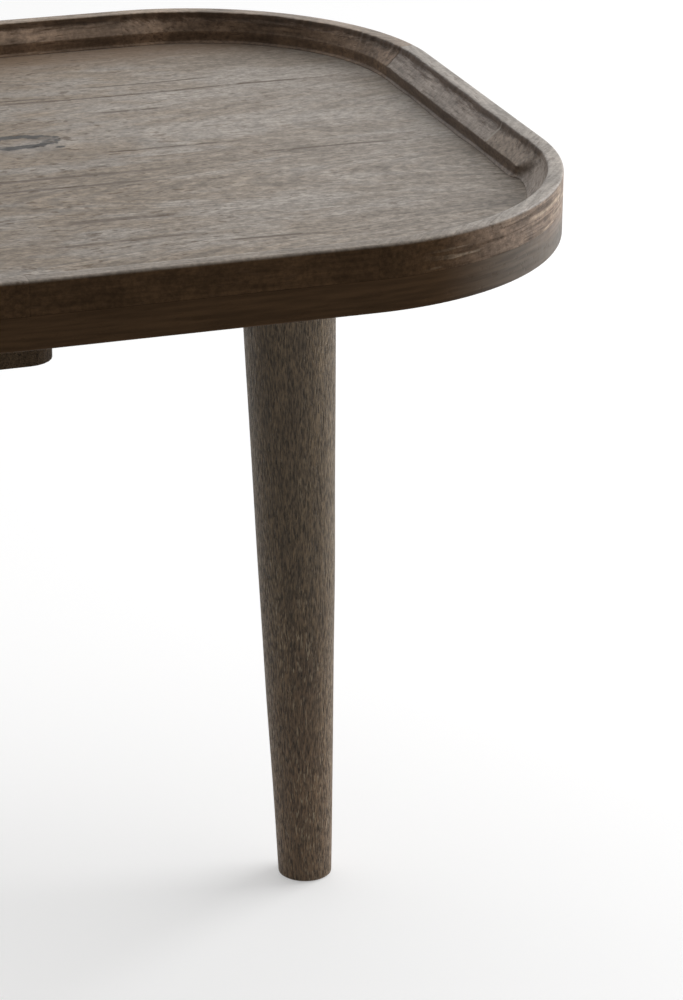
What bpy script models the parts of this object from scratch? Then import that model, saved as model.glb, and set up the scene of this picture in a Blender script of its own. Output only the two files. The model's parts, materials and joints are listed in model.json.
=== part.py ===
"""Side table with a square, round-cornered tray top on three slim turned legs, in solid wood.

The tray is four edge-glued boards with a rim of four rails and four curved corner segments
glued on top, doweled to each other at their ends. Under the tray, two screwed-on
leg boards run across the grain: the left one carries two legs, the right one carries one.
Each leg hangs on a hanger bolt that screws into a threaded insert in its leg board.

Units are metres. +Z is up, +X is to the right and +Y to the rear. The origin is on the
floor under the middle of the tray.
"""

import math

import bmesh
import bpy
from mathutils import Matrix, Vector

# Driving dimensions of the tray
TABLE_HEIGHT = 0.450
TRAY_WIDTH = 0.450
TRAY_DEPTH = 0.450
CORNER_RADIUS = 0.140
BOARD_THICKNESS = 0.017
BOARD_COUNT = 4

# Rim section: a low upright wall at the tray floor, a ramp, a steep step, and a flat top
RIM_HEIGHT = 0.017
RIM_WIDTH = 0.0155
SIDE_RIM_WIDTH = 0.0185
RIM_FLAT = 0.009
RIM_WALL = 0.0065
RIM_STEP_WIDTH = 0.001
RIM_STEP_DEPTH = 0.004
RIM_INNER_RADIUS = 0.1075
RIM_EDGE_RADIUS = 0.002

# Where the side rails meet the corner segments: the straight end of a front corner segment,
# and how far round the rear arc a side rail reaches
FRONT_CORNER_TAIL = 0.035
SIDE_RAIL_REACH = math.radians(7.8)

# Dowels that join the rails to the corner segments
DOWEL_RADIUS = 0.0025
DOWEL_LENGTH = 0.030
DOWEL_FROM_FACE = 0.0055
DOWEL_ABOVE_BOARDS = 0.006

# Leg boards under the tray
LEG_BOARD_THICKNESS = 0.024
LEG_BOARD_WIDTH = 0.120
LEG_BOARD_CORNER = 0.014
LEFT_BOARD_SETBACK = 0.045
RIGHT_BOARD_SETBACK = 0.125
SCREW_EDGE_DISTANCE = 0.022

# Legs: how far in from the tray's edges their tops are, how they taper and how far they lean
LEFT_LEG_INSET = 0.105
RIGHT_LEG_INSET = 0.111
LEG_TOP_DIAMETER = 0.0525
LEG_FOOT_DIAMETER = 0.030
LEG_SWELL = 0.0016
LEG_FOOT_EASE = 0.0015
LEG_LEAN = math.radians(1.75)

# Hardware
BOLT_RADIUS = 0.0037
BOLT_IN_LEG = 0.040
BOLT_IN_INSERT = 0.020
BOLT_POINT = 0.003
INSERT_RADIUS = 0.006
INSERT_LENGTH = 0.022
SCREW_RADIUS = 0.002
SCREW_HEAD_RADIUS = 0.004
SCREW_HEAD_HEIGHT = 0.0025
SCREW_IN_BOARD = 0.011
SCREW_POINT = 0.003

# Clearances: glued or seated faces, and round pieces in their holes
GLUE_GAP = 0.0003
HOLE_CLEARANCE = 0.0003

# Facets
CORNER_STEPS = 12
EDGE_STEPS = 3
LEG_STEPS = 32
LEG_RINGS = 10
HARDWARE_STEPS = 12
CUTTER_OVERRUN = 0.001
WELD_DISTANCE = 0.00001
SMOOTH_ANGLE = math.radians(35)

# Levels and places worked out from the dimensions above
RIM_BASE_Z = TABLE_HEIGHT - RIM_HEIGHT
BOARD_TOP_Z = RIM_BASE_Z - GLUE_GAP
BOARD_BOTTOM_Z = BOARD_TOP_Z - BOARD_THICKNESS
LEG_BOARD_TOP_Z = BOARD_BOTTOM_Z - GLUE_GAP
LEG_BOARD_BOTTOM_Z = LEG_BOARD_TOP_Z - LEG_BOARD_THICKNESS
LEG_TOP_Z = LEG_BOARD_BOTTOM_Z - GLUE_GAP
HALF_WIDTH = TRAY_WIDTH / 2
HALF_DEPTH = TRAY_DEPTH / 2
LEFT_LEG_X = LEFT_LEG_INSET - HALF_WIDTH
LEFT_LEG_Y = HALF_DEPTH - LEFT_LEG_INSET
RIGHT_LEG_X = HALF_WIDTH - RIGHT_LEG_INSET
SIDE_RAIL_FRONT_Y = CORNER_RADIUS + FRONT_CORNER_TAIL - HALF_DEPTH
LEFT_LEG_BOARD_LENGTH = TRAY_DEPTH - 2 * LEFT_BOARD_SETBACK
RIGHT_LEG_BOARD_LENGTH = TRAY_DEPTH - 2 * RIGHT_BOARD_SETBACK

# Each leg: its name, where its top is, and the direction in which it leans
LEGS = {
    "right": (Vector((RIGHT_LEG_X, 0)), Vector((1, 0))),
    "front_left": (Vector((LEFT_LEG_X, -LEFT_LEG_Y)), Vector((-1, -1)).normalized()),
    "rear_left": (Vector((LEFT_LEG_X, LEFT_LEG_Y)), Vector((-1, 1)).normalized()),
}

# Each leg board: its middle, its length, and the legs that it carries
LEG_BOARDS = {
    "left": (Vector((LEFT_LEG_X, 0)), LEFT_LEG_BOARD_LENGTH, ("front_left", "rear_left")),
    "right": (Vector((RIGHT_LEG_X, 0)), RIGHT_LEG_BOARD_LENGTH, ("right",)),
}

# The rim's pieces
RAILS = ("front", "right", "rear", "left")
CORNERS = ("front_right", "rear_right", "rear_left", "front_left")


def clear_scene():
    """Removes every object that the scene starts with."""
    for obj in list(bpy.data.objects):
        bpy.data.objects.remove(obj, do_unlink=True)


def new_collection(name):
    """Makes a collection in the scene."""
    made = bpy.data.collections.new(name)
    bpy.context.scene.collection.children.link(made)
    return made


def new_material(name, colour, roughness, metallic=0.0):
    """Makes a Principled material of one colour."""
    made = bpy.data.materials.new(name)
    made.use_nodes = True
    shader = made.node_tree.nodes["Principled BSDF"]
    shader.inputs["Base Color"].default_value = (*colour, 1.0)
    shader.inputs["Roughness"].default_value = roughness
    shader.inputs["Metallic"].default_value = metallic
    return made


def add_object(name, data, collection, material=None):
    """Links an object with its material."""
    obj = bpy.data.objects.new(name, data)
    collection.objects.link(obj)
    if material is not None:
        data.materials.append(material)
    return obj


def arc(centre, radius, start, end, steps):
    """Points along an arc in the XY plane, from angle start to angle end."""
    angles = [start + (end - start) * i / steps for i in range(steps + 1)]
    return [centre + radius * Vector((math.cos(a), math.sin(a))) for a in angles]


def rounded_rectangle(half_x, half_y, radius, steps):
    """The outline of a rectangle with round corners, counter-clockwise from the front right."""
    points = []
    for turn, (sx, sy) in enumerate(((1, -1), (1, 1), (-1, 1), (-1, -1))):
        centre = Vector((sx * (half_x - radius), sy * (half_y - radius)))
        start = (turn - 1) * math.pi / 2
        points += arc(centre, radius, start, start + math.pi / 2, steps)
    return points


def plate(name, outline, thickness, collection, material=None):
    """A flat plate: a filled 2D curve, extruded about its middle plane."""
    curve = bpy.data.curves.new(name, "CURVE")
    curve.dimensions = "2D"
    curve.fill_mode = "BOTH"
    curve.extrude = thickness / 2
    spline = curve.splines.new("POLY")
    spline.points.add(len(outline) - 1)
    for point, place in zip(spline.points, outline):
        point.co = (place[0], place[1], 0, 1)
    spline.use_cyclic_u = True
    return add_object(name, curve, collection, material)


def as_mesh(obj, collection):
    """Replaces a curve object, or one with modifiers, by a plain welded mesh object."""
    bpy.context.view_layer.update()
    graph = bpy.context.evaluated_depsgraph_get()
    mesh = bpy.data.meshes.new_from_object(obj.evaluated_get(graph))
    shaped = bmesh.new()
    shaped.from_mesh(mesh)
    bmesh.ops.remove_doubles(shaped, verts=shaped.verts, dist=WELD_DISTANCE)
    shaped.to_mesh(mesh)
    shaped.free()
    name, matrix = obj.name, obj.matrix_world.copy()
    bpy.data.objects.remove(obj, do_unlink=True)
    made = add_object(name, mesh, collection)
    mesh.name = name
    made.matrix_world = matrix
    return made


def turned(name, profile, steps, collection, material=None):
    """A turned piece: a profile of (radius, height) points, spun about Z."""
    mesh = bpy.data.meshes.new(name)
    edges = [(i, i + 1) for i in range(len(profile) - 1)]
    mesh.from_pydata([(r, 0, z) for r, z in profile], edges, [])
    obj = add_object(name, mesh, collection, material)
    spin = obj.modifiers.new("Spin", "SCREW")
    spin.axis = "Z"
    spin.steps = steps
    spin.render_steps = steps
    spin.use_merge_vertices = True
    spin.merge_threshold = WELD_DISTANCE
    spin.use_smooth_shade = True
    return obj


def turned_mesh(name, profile, steps, collection):
    """The plain mesh of a turned piece, for copies of it."""
    made = as_mesh(turned(name, profile, steps, collection), collection)
    mesh = made.data
    bpy.data.objects.remove(made)
    return mesh


def loft(name, sections, collection, material):
    """A solid through closed sections that have the same number of points, capped at both ends."""
    shaped = bmesh.new()
    rings = [[shaped.verts.new(p) for p in section] for section in sections]
    count = len(sections[0])
    for first, second in zip(rings, rings[1:]):
        for i in range(count):
            j = (i + 1) % count
            shaped.faces.new((first[i], first[j], second[j], second[i]))
    shaped.faces.new(list(reversed(rings[0])))
    shaped.faces.new(rings[-1])
    bmesh.ops.recalc_face_normals(shaped, faces=shaped.faces)
    mesh = bpy.data.meshes.new(name)
    shaped.to_mesh(mesh)
    shaped.free()
    return add_object(name, mesh, collection, material)


def repeat(name, mesh, matrices, collection):
    """Numbered objects that share one mesh, one at each matrix."""
    for number, matrix in enumerate(matrices, 1):
        add_object(f"{name}_{number}", mesh, collection).matrix_world = matrix


def joined_cutter(name, mesh, matrices, collection):
    """One cutter that holds a copy of the mesh at each matrix."""
    joined = bmesh.new()
    for matrix in matrices:
        one = mesh.copy()
        one.transform(matrix)
        joined.from_mesh(one)
        bpy.data.meshes.remove(one)
    made = bpy.data.meshes.new(name)
    joined.to_mesh(made)
    joined.free()
    return add_object(name, made, collection)


def cut(obj, cutter):
    """Cuts the cutter out of an object, and hides the cutter from the model."""
    cutter.hide_render = True
    cutter.display_type = "WIRE"
    hole = obj.modifiers.new("Cut " + cutter.name, "BOOLEAN")
    hole.operation = "DIFFERENCE"
    hole.object = cutter


def board_outline(low_y, high_y):
    """The outline of the part of the tray between two depths, with the tray's round corners."""
    flat = HALF_DEPTH - CORNER_RADIUS
    depths = {low_y, high_y}
    for step in range(CORNER_STEPS + 1):
        depth = flat + CORNER_RADIUS * math.sin(step * math.pi / 2 / CORNER_STEPS)
        depths |= {y for y in (depth, -depth) if low_y < y < high_y}
    right = []
    for y in sorted(depths):
        past = max(0.0, abs(y) - flat)
        inset = CORNER_RADIUS - math.sqrt(max(0.0, CORNER_RADIUS**2 - past**2))
        right.append(Vector((HALF_WIDTH - inset, y)))
    left = [Vector((-p.x, p.y)) for p in reversed(right)]
    return right + left


def rim_section(inner, coved):
    """The rim's section as (inwards, up) points, for a wall that stands this far inwards.

    coved goes from 0, for a wall with a ramp and a step above it, to 1, for one plain slope.
    """
    edge = Vector((RIM_EDGE_RADIUS, RIM_HEIGHT - RIM_EDGE_RADIUS))
    outer_edge = arc(edge, RIM_EDGE_RADIUS, math.pi / 2, math.pi, EDGE_STEPS)
    foot = Vector((inner, 0))
    top = Vector((RIM_FLAT, RIM_HEIGHT))
    stepped = [Vector((inner, RIM_WALL)), top + Vector((RIM_STEP_WIDTH, -RIM_STEP_DEPTH))]
    sloped = [foot.lerp(top, point.y / RIM_HEIGHT) for point in stepped]
    inside = [first.lerp(second, coved) for first, second in zip(stepped, sloped)]
    return [Vector((0, 0)), foot] + inside + [top] + outer_edge


def corner_wall(angle):
    """How far inwards the wall stands in a corner, and whether it is round there.

    The angle is that of a ray from the outer arc's centre, from 0 at the front or rear rail to
    a quarter turn at the side rail.
    """
    end = CORNER_RADIUS - RIM_WIDTH
    side = CORNER_RADIUS - SIDE_RIM_WIDTH
    offset = Vector((side - RIM_INNER_RADIUS, end - RIM_INNER_RADIUS))
    ray = Vector((math.sin(angle), math.cos(angle)))
    if end * ray.x < offset.x * ray.y:
        return CORNER_RADIUS - end / ray.y, False
    if side * ray.y < offset.y * ray.x:
        return CORNER_RADIUS - side / ray.x, False
    along = offset.dot(ray)
    reach = along + math.sqrt(along**2 - offset.length_squared + RIM_INNER_RADIUS**2)
    return CORNER_RADIUS - reach, True


def corner_station(side_x, side_y, angle):
    """The outer point of the rim, its inward direction, its wall and its cove in a corner.

    The slope in a front corner keeps its foot level with the rails', all the way round.
    """
    out = Vector((side_x * math.sin(angle), side_y * math.cos(angle)))
    centre = Vector((side_x * (HALF_WIDTH - CORNER_RADIUS), side_y * (HALF_DEPTH - CORNER_RADIUS)))
    wall, is_round = corner_wall(angle)
    if side_y < 0:
        wall = RIM_WIDTH + (SIDE_RIM_WIDTH - RIM_WIDTH) * math.sin(angle) ** 2
    return centre + out * CORNER_RADIUS, -out, wall, 1 if is_round and side_y < 0 else 0


def rod(name, radius, length):
    """The mesh of a round rod along X, centred on the origin."""
    shaped = bmesh.new()
    bmesh.ops.create_cone(
        shaped,
        cap_ends=True,
        segments=HARDWARE_STEPS,
        radius1=radius,
        radius2=radius,
        depth=length,
        matrix=Matrix.Rotation(math.pi / 2, 4, "Y"),
    )
    mesh = bpy.data.meshes.new(name)
    shaped.to_mesh(mesh)
    shaped.free()
    return mesh


def make_boards(collection, material):
    """The tray floor: edge-glued boards that run from left to right."""
    pitch = TRAY_DEPTH / BOARD_COUNT
    boards = []
    for i in range(BOARD_COUNT):
        low = -HALF_DEPTH + i * pitch + (GLUE_GAP / 2 if i else 0)
        high = -HALF_DEPTH + (i + 1) * pitch - (GLUE_GAP / 2 if i < BOARD_COUNT - 1 else 0)
        name = f"tray_board_{i + 1}"
        board = plate(name, board_outline(low, high), BOARD_THICKNESS, collection)
        board.location.z = (BOARD_TOP_Z + BOARD_BOTTOM_Z) / 2
        board = as_mesh(board, collection)
        board.data.materials.append(material)
        boards.append(board)
    return boards


def rail_joints(name):
    """Where the two ends of a rail meet the corner segments: outer points and inward directions."""
    side = -1 if name in ("front", "left") else 1
    if name in ("front", "rear"):
        flat = HALF_WIDTH - CORNER_RADIUS
        return [(Vector((x, side * HALF_DEPTH)), Vector((0, -side))) for x in (-flat, flat)]
    front = (Vector((side * HALF_WIDTH, SIDE_RAIL_FRONT_Y)), Vector((-side, 0)))
    rear = corner_station(side, 1, math.pi / 2 - SIDE_RAIL_REACH)[:2]
    return [front, rear]


def dowel_places(name):
    """Where the two dowels in the ends of a rail are."""
    for outer, inward in rail_joints(name):
        place = outer + inward * DOWEL_FROM_FACE
        turned_by = Matrix.Rotation(math.atan2(inward.y, inward.x) - math.pi / 2, 4, "Z")
        yield Matrix.Translation((place.x, place.y, RIM_BASE_Z + DOWEL_ABOVE_BOARDS)) @ turned_by


def rail_stations(name):
    """Stations along a rail, short of its joints by half a glue gap."""
    (first, inward), (last, _) = rail_joints(name)
    if name in ("front", "rear"):
        slack = Vector((GLUE_GAP / 2, 0))
        return [(first + slack, inward, RIM_WIDTH, 0), (last - slack, inward, RIM_WIDTH, 0)]
    side = -1 if name == "left" else 1
    stations = [(first + Vector((0, GLUE_GAP / 2)), inward, SIDE_RIM_WIDTH, 0)]
    reach = SIDE_RAIL_REACH - GLUE_GAP / 2 / CORNER_RADIUS
    for share in (0, 0.5, 1):
        stations.append(corner_station(side, 1, math.pi / 2 - reach * share))
    return stations


def corner_stations(name):
    """Stations round a corner segment, from the front or rear rail to the side rail."""
    side_x = 1 if "right" in name else -1
    side_y = 1 if "rear" in name else -1
    slack = GLUE_GAP / 2 / CORNER_RADIUS
    end = math.pi / 2 if side_y < 0 else math.pi / 2 - SIDE_RAIL_REACH - slack
    stations = []
    for step in range(CORNER_STEPS + 1):
        angle = slack + (end - slack) * step / CORNER_STEPS
        stations.append(corner_station(side_x, side_y, angle))
    if side_y < 0:
        joint = Vector((side_x * HALF_WIDTH, SIDE_RAIL_FRONT_Y - GLUE_GAP / 2))
        stations.append((joint, Vector((-side_x, 0)), SIDE_RIM_WIDTH, 0))
    return stations


def rim_piece(name, stations, collection, material):
    """A piece of the rim, lofted through its stations."""
    sections = []
    for outer, inward, wall, coved in stations:
        places = [(outer + inward * p.x, RIM_BASE_Z + p.y) for p in rim_section(wall, coved)]
        sections.append([Vector((place.x, place.y, height)) for place, height in places])
    return loft(name, sections, collection, material)


def make_rim(collection, cutters, material):
    """The rim's four rails and four corner segments, with a dowel across each joint."""
    dowel = rod("rim_dowel", DOWEL_RADIUS, DOWEL_LENGTH)
    dowel.materials.append(material)
    hole = rod("dowel_hole", DOWEL_RADIUS + HOLE_CLEARANCE, DOWEL_LENGTH + 2 * HOLE_CLEARANCE)
    holes = {}
    for name in RAILS:
        places = list(dowel_places(name))
        repeat(f"rim_dowel_{name}", dowel, places, collection)
        holes[name] = joined_cutter(f"dowel_holes_{name}", hole, places, cutters)
        cut(rim_piece(f"rim_rail_{name}", rail_stations(name), collection, material), holes[name])
    for name in CORNERS:
        corner = rim_piece(f"rim_corner_{name}", corner_stations(name), collection, material)
        for rail in name.split("_"):
            cut(corner, holes[rail])


def screw_profile(clearance, overrun):
    """A countersunk screw from its point, at the top, down to its head at height 0."""
    shank = SCREW_RADIUS + clearance
    head = SCREW_HEAD_RADIUS + clearance
    top = LEG_BOARD_THICKNESS + GLUE_GAP + SCREW_IN_BOARD + clearance
    tip = [(0, top), (shank, top - SCREW_POINT)]
    return tip + [(shank, SCREW_HEAD_HEIGHT), (head, 0), (head, -overrun), (0, -overrun)]


def screw_places(middle, length):
    """Where the screws of a leg board are: in pairs, twice as many in a long board."""
    out_x = LEG_BOARD_WIDTH / 2 - SCREW_EDGE_DISTANCE
    out_y = length / 2 - SCREW_EDGE_DISTANCE
    is_long = length > 2 * LEG_BOARD_WIDTH
    rows = (-out_y, -out_y / 3, out_y / 3, out_y) if is_long else (-out_y, out_y)
    for x in (-out_x, out_x):
        for y in rows:
            yield Matrix.Translation((middle.x + x, middle.y + y, LEG_BOARD_BOTTOM_Z))


def make_leg_boards(collection, cutters, boards, wood, steel):
    """The two leg boards, their screws, and the screw and insert holes."""
    screw = turned_mesh("leg_board_screw", screw_profile(0, 0), HARDWARE_STEPS, cutters)
    screw.materials.append(steel)
    hole = turned_mesh("screw_hole", screw_profile(HOLE_CLEARANCE, CUTTER_OVERRUN), HARDWARE_STEPS, cutters)
    for side, (middle, length, legs) in LEG_BOARDS.items():
        outline = rounded_rectangle(LEG_BOARD_WIDTH / 2, length / 2, LEG_BOARD_CORNER, CORNER_STEPS // 2)
        board = plate(f"leg_board_{side}", outline, LEG_BOARD_THICKNESS, collection)
        board.location = (middle.x, middle.y, (LEG_BOARD_TOP_Z + LEG_BOARD_BOTTOM_Z) / 2)
        board = as_mesh(board, collection)
        board.data.materials.append(wood)
        places = list(screw_places(middle, length))
        repeat(f"leg_board_screw_{side}", screw, places, collection)
        holes = joined_cutter(f"screw_holes_{side}", hole, places, cutters)
        cut(board, holes)
        for tray_board in boards:
            low = min(v.co.y for v in tray_board.data.vertices)
            high = max(v.co.y for v in tray_board.data.vertices)
            if any(low < place.translation.y < high for place in places):
                cut(tray_board, holes)
        for leg in legs:
            cut(board, bpy.data.objects[f"insert_hole_{leg}"])


def leaning(name, profile, steps, leg, collection):
    """A turned piece that leans with its leg, level at both ends; height 0 is the leg's top."""
    place, lean = LEGS[leg]
    slope = math.tan(LEG_LEAN)
    shear = Matrix.Identity(4)
    shear[0][2] = -lean.x * slope
    shear[1][2] = -lean.y * slope
    mesh = turned_mesh(name, profile, steps, collection)
    mesh.transform(shear)
    mesh.shade_smooth()
    mesh.set_sharp_from_angle(angle=SMOOTH_ANGLE)
    obj = add_object(name, mesh, collection)
    obj.location = (place.x, place.y, LEG_TOP_Z)
    return obj


def make_inserts(collection, cutters, steel):
    """A threaded insert for each leg, and the hole for it in its leg board."""
    bore = BOLT_RADIUS + HOLE_CLEARANCE
    bottom = GLUE_GAP
    top = bottom + INSERT_LENGTH
    sleeve = [(bore, bottom), (bore, top), (INSERT_RADIUS, top), (INSERT_RADIUS, bottom), (bore, bottom)]
    hole_radius = INSERT_RADIUS + HOLE_CLEARANCE
    hole_top = top + HOLE_CLEARANCE
    hole_bottom = bottom - CUTTER_OVERRUN
    hole = [(0, hole_top), (hole_radius, hole_top), (hole_radius, hole_bottom), (0, hole_bottom)]
    for leg in LEGS:
        insert = leaning(f"threaded_insert_{leg}", sleeve, HARDWARE_STEPS, leg, collection)
        insert.data.materials.append(steel)
        leaning(f"insert_hole_{leg}", hole, HARDWARE_STEPS, leg, cutters)


def make_bolts(collection, steel):
    """A hanger bolt for each leg: a pointed wood thread below, a machine thread above."""
    bottom = -BOLT_IN_LEG
    top = GLUE_GAP + BOLT_IN_INSERT
    ease = BOLT_POINT / 3
    profile = [
        (0, top),
        (BOLT_RADIUS - ease, top),
        (BOLT_RADIUS, top - ease),
        (BOLT_RADIUS, bottom + BOLT_POINT),
        (0, bottom),
    ]
    for leg in LEGS:
        bolt = leaning(f"hanger_bolt_{leg}", profile, HARDWARE_STEPS, leg, collection)
        bolt.data.materials.append(steel)


def leg_radius(height):
    """The leg's radius at a height above the floor: a straight taper with a slight swell."""
    share = height / LEG_TOP_Z
    taper = LEG_FOOT_DIAMETER + (LEG_TOP_DIAMETER - LEG_FOOT_DIAMETER) * share
    return (taper + 4 * LEG_SWELL * share * (1 - share)) / 2


def make_legs(collection, wood):
    """The turned legs, with a bore for the hanger bolt in the top and an eased foot."""
    bore = BOLT_RADIUS + HOLE_CLEARANCE
    bore_end = -BOLT_IN_LEG - HOLE_CLEARANCE
    profile = [(0, bore_end), (bore, bore_end), (bore, 0)]
    for ring in range(LEG_RINGS + 1):
        height = LEG_TOP_Z + (LEG_FOOT_EASE - LEG_TOP_Z) * ring / LEG_RINGS
        profile.append((leg_radius(height), height - LEG_TOP_Z))
    profile += [(leg_radius(0) - LEG_FOOT_EASE, -LEG_TOP_Z), (0, -LEG_TOP_Z)]
    for leg in LEGS:
        made = leaning(f"leg_{leg}", profile, LEG_STEPS, leg, collection)
        made.data.materials.append(wood)


def main():
    clear_scene()
    parts = new_collection("Side table")
    cutters = new_collection("Cutters")
    tray_wood = new_material("Tray wood", (0.155, 0.118, 0.090), 0.45)
    rim_wood = new_material("Rim wood", (0.120, 0.086, 0.062), 0.50)
    leg_wood = new_material("Leg wood", (0.095, 0.070, 0.050), 0.60)
    under_wood = new_material("Leg board wood", (0.090, 0.065, 0.046), 0.65)
    steel = new_material("Zinc plated steel", (0.560, 0.560, 0.540), 0.35, 1.0)
    boards = make_boards(parts, tray_wood)
    make_rim(parts, cutters, rim_wood)
    make_inserts(parts, cutters, steel)
    make_leg_boards(parts, cutters, boards, under_wood, steel)
    make_bolts(parts, steel)
    make_legs(parts, leg_wood)


main()
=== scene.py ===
"""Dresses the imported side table: a weathered wooden tray table on a white studio floor."""

import json
import math

import bmesh
import bpy
from mathutils import Matrix, Vector, noise

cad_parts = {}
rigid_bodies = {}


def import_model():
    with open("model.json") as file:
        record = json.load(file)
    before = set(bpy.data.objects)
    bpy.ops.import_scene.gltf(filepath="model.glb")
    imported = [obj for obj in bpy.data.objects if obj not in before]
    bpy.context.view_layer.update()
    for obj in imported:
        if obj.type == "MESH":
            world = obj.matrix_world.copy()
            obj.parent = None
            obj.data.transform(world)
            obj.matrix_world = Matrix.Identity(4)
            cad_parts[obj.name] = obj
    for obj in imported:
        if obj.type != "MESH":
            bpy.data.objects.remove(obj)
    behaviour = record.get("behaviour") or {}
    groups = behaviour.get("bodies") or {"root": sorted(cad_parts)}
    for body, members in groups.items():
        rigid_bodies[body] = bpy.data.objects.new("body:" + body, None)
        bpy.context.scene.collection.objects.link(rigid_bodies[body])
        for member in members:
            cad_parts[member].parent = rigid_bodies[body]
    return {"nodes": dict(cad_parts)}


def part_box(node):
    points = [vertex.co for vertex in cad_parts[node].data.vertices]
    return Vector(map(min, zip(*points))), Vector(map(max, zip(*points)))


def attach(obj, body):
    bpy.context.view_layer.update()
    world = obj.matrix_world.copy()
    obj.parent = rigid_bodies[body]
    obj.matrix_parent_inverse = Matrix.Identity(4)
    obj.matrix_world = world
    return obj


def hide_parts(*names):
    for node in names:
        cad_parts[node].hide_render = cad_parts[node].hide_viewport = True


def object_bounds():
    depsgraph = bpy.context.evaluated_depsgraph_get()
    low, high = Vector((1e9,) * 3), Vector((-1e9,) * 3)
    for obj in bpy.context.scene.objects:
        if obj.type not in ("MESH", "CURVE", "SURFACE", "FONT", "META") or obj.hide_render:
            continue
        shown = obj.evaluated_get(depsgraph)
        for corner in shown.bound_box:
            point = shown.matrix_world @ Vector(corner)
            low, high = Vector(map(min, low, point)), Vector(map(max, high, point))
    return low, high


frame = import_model()
CAD_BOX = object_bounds()

# Sizes of the solids, in metres
TABLE_HEIGHT = CAD_BOX[1][2]
HALF = CAD_BOX[1][0]
CORNER_RADIUS = 0.140
FLAT_HALF = HALF - CORNER_RADIUS
RIM_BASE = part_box("rim_rail_front")[0][2]
RIM_HEIGHT = TABLE_HEIGHT - RIM_BASE
RIM_WIDTH = 0.0155
SIDE_RIM_WIDTH = 0.0185
RIM_FLAT = 0.009
RIM_WALL = 0.0065
RIM_STEP_WIDTH = 0.001
RIM_STEP_DEPTH = 0.004
RIM_INNER_RADIUS = 0.1075
SIDE_RAIL_FRONT_Y = -0.050
SIDE_RAIL_REACH = math.radians(7.8)
BOARD_COUNT = 4
BOARD_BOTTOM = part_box("tray_board_1")[0][2]
BOARD_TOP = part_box("tray_board_1")[1][2]
LEG_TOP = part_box("leg_right")[1][2]
LEG_TOP_DIAMETER = 0.0525
LEG_FOOT_DIAMETER = 0.030
LEG_SWELL = 0.0016
LEG_LEAN = math.radians(1.75)
LEGS = {
    "right": (Vector((0.114, 0)), Vector((1, 0))),
    "front_left": (Vector((-0.120, -0.120)), Vector((-1, -1)).normalized()),
    "rear_left": (Vector((-0.120, 0.120)), Vector((-1, 1)).normalized()),
}

# Camera, fitted to the photograph of 683 by 1000 pixels
CAMERA_LENS = 136.8
CAMERA_SENSOR = 36.0
CAMERA_REACH = 50.0
CAMERA_PLACE = Vector((-0.4957, -1.8274, 1.0137))
CAMERA_YAW = math.radians(19.355)
CAMERA_PITCH = math.radians(22.142)
CAMERA_ROLL = math.radians(-0.477)

# Light and floor
BACKDROP_DIRECTION = Vector((0.45, 0.85, 0.28)).normalized()
BACKDROP_FADE = (-0.5, 0.35)
DARK_SIDE = 0.10
KEY_POWER = 46.0
KEY_PLACE = (2.3, 0.4, 1.3)
KEY_TARGET = (0, 0, 0.3)
KEY_SIZE = (1.8, 1.8)
FLOOR_WHITE = 0.60
FLOOR_GLOW = 0.385
FLOOR_ROUGHNESS = 0.7
FLOOR_SPECULAR = 0.2
FLOOR_HALF = 30.0

# Fine shape of the rim, in metres. A pair is inwards and down; a wave is a seed, waves per metre and a size.
# Across marks the places on its section: 0 to 0.9 outer face, 1.1 to 1.95 flat top, 2 to 2.3 step,
# 2.35 to 2.95 ramp, 3 to 3.6 wall, 3.7 to 3.9 lip, 4 the tray's floor.
RAIL_STEP = 0.0020
CORNER_STEP = 0.0010
OUTER_EDGE = 0.0015
JOINT_GAP = 0.0001
JOINT_EASE = 0.00012
RIM_REST = 0.0002
FLAT_INSET = 0.0006
FLAT_ROUNDING = (0.0001, 0.0002)
STEP_EDGE = (0.0002, 0.0007)
STEP_FOOT = 0.0004
RAMP_HEAD = (0.0006, 0.0003)
RAMP_FOOT = 0.0003
WALL_FOOT = 0.0012
LIP_WIDTH = 0.0012
LIP_POINTS = ((0.15, 0.0008, 3.70), (0.80, 0.0005, 3.80), (1.0, 0.0001, 3.90))
LIP_RUNOUT = 0.0005
FLAT_WAVES = ((0.3, 55.0, 0.0006), (0.7, 320.0, 0.0006))
FOOT_WAVE = (1.9, 40.0, 0.0005)
LIP_WAVE = (2.7, 30.0, 0.0011)
RAMP_WAVE = (90.0, 0.0003)
RIM_SHARP_ANGLE = 50.0

# Front corners, with angles in degrees from the front rail
FRONT_CORNER_FLAT = 0.0080
FLAT_NARROWS = (0.0, 20.0)
FLAT_WIDENS = (88.0, 80.0)
CREASE_CUT = 0.0015
CREASE_TURN = (70.0, 84.0)
COVE_START = 88.0
COVE_TILT = 7.0
COVE_TURN = 4.0
COVE_END = (1.0, 7.0)
COVE_HOLLOW = 1.6
FRONT_CORNER_GRAIN = math.radians(-51)
REAR_CORNER_GRAIN = math.radians(41)

# Fine shape of boards and legs, in metres
LOWER_EDGE = 0.0015
LOWER_EDGE_STEPS = 4
BOARD_CORNER_STEPS = 40
UPPER_LAYERS = ((0.0, 0.0001, 1.0), (0.0001, 0.0, 1.0), (0.0040, 0.0, 1.0), (0.0050, 0.0, 0.0))
LEG_BOARD_EASE = 0.0012
LEG_BOARD_EASE_STEPS = 2
LEG_BOARD_EASE_ANGLE = math.radians(60)
LEG_FOOT_STEPS = ((0.0, 0.0030), (0.0, 0.0015), (0.0003, 0.0008), (0.0008, 0.0002), (0.0015, 0.0))
LEG_RINGS = 90
LEG_SIDES = 112
LEG_WAVE_ROUND = 0.6
LEG_WAVE_PLACE = 9
LEG_WAVE = (1.6, 0.00035)
SMOOTH_ANGLE = 38.0

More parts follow.
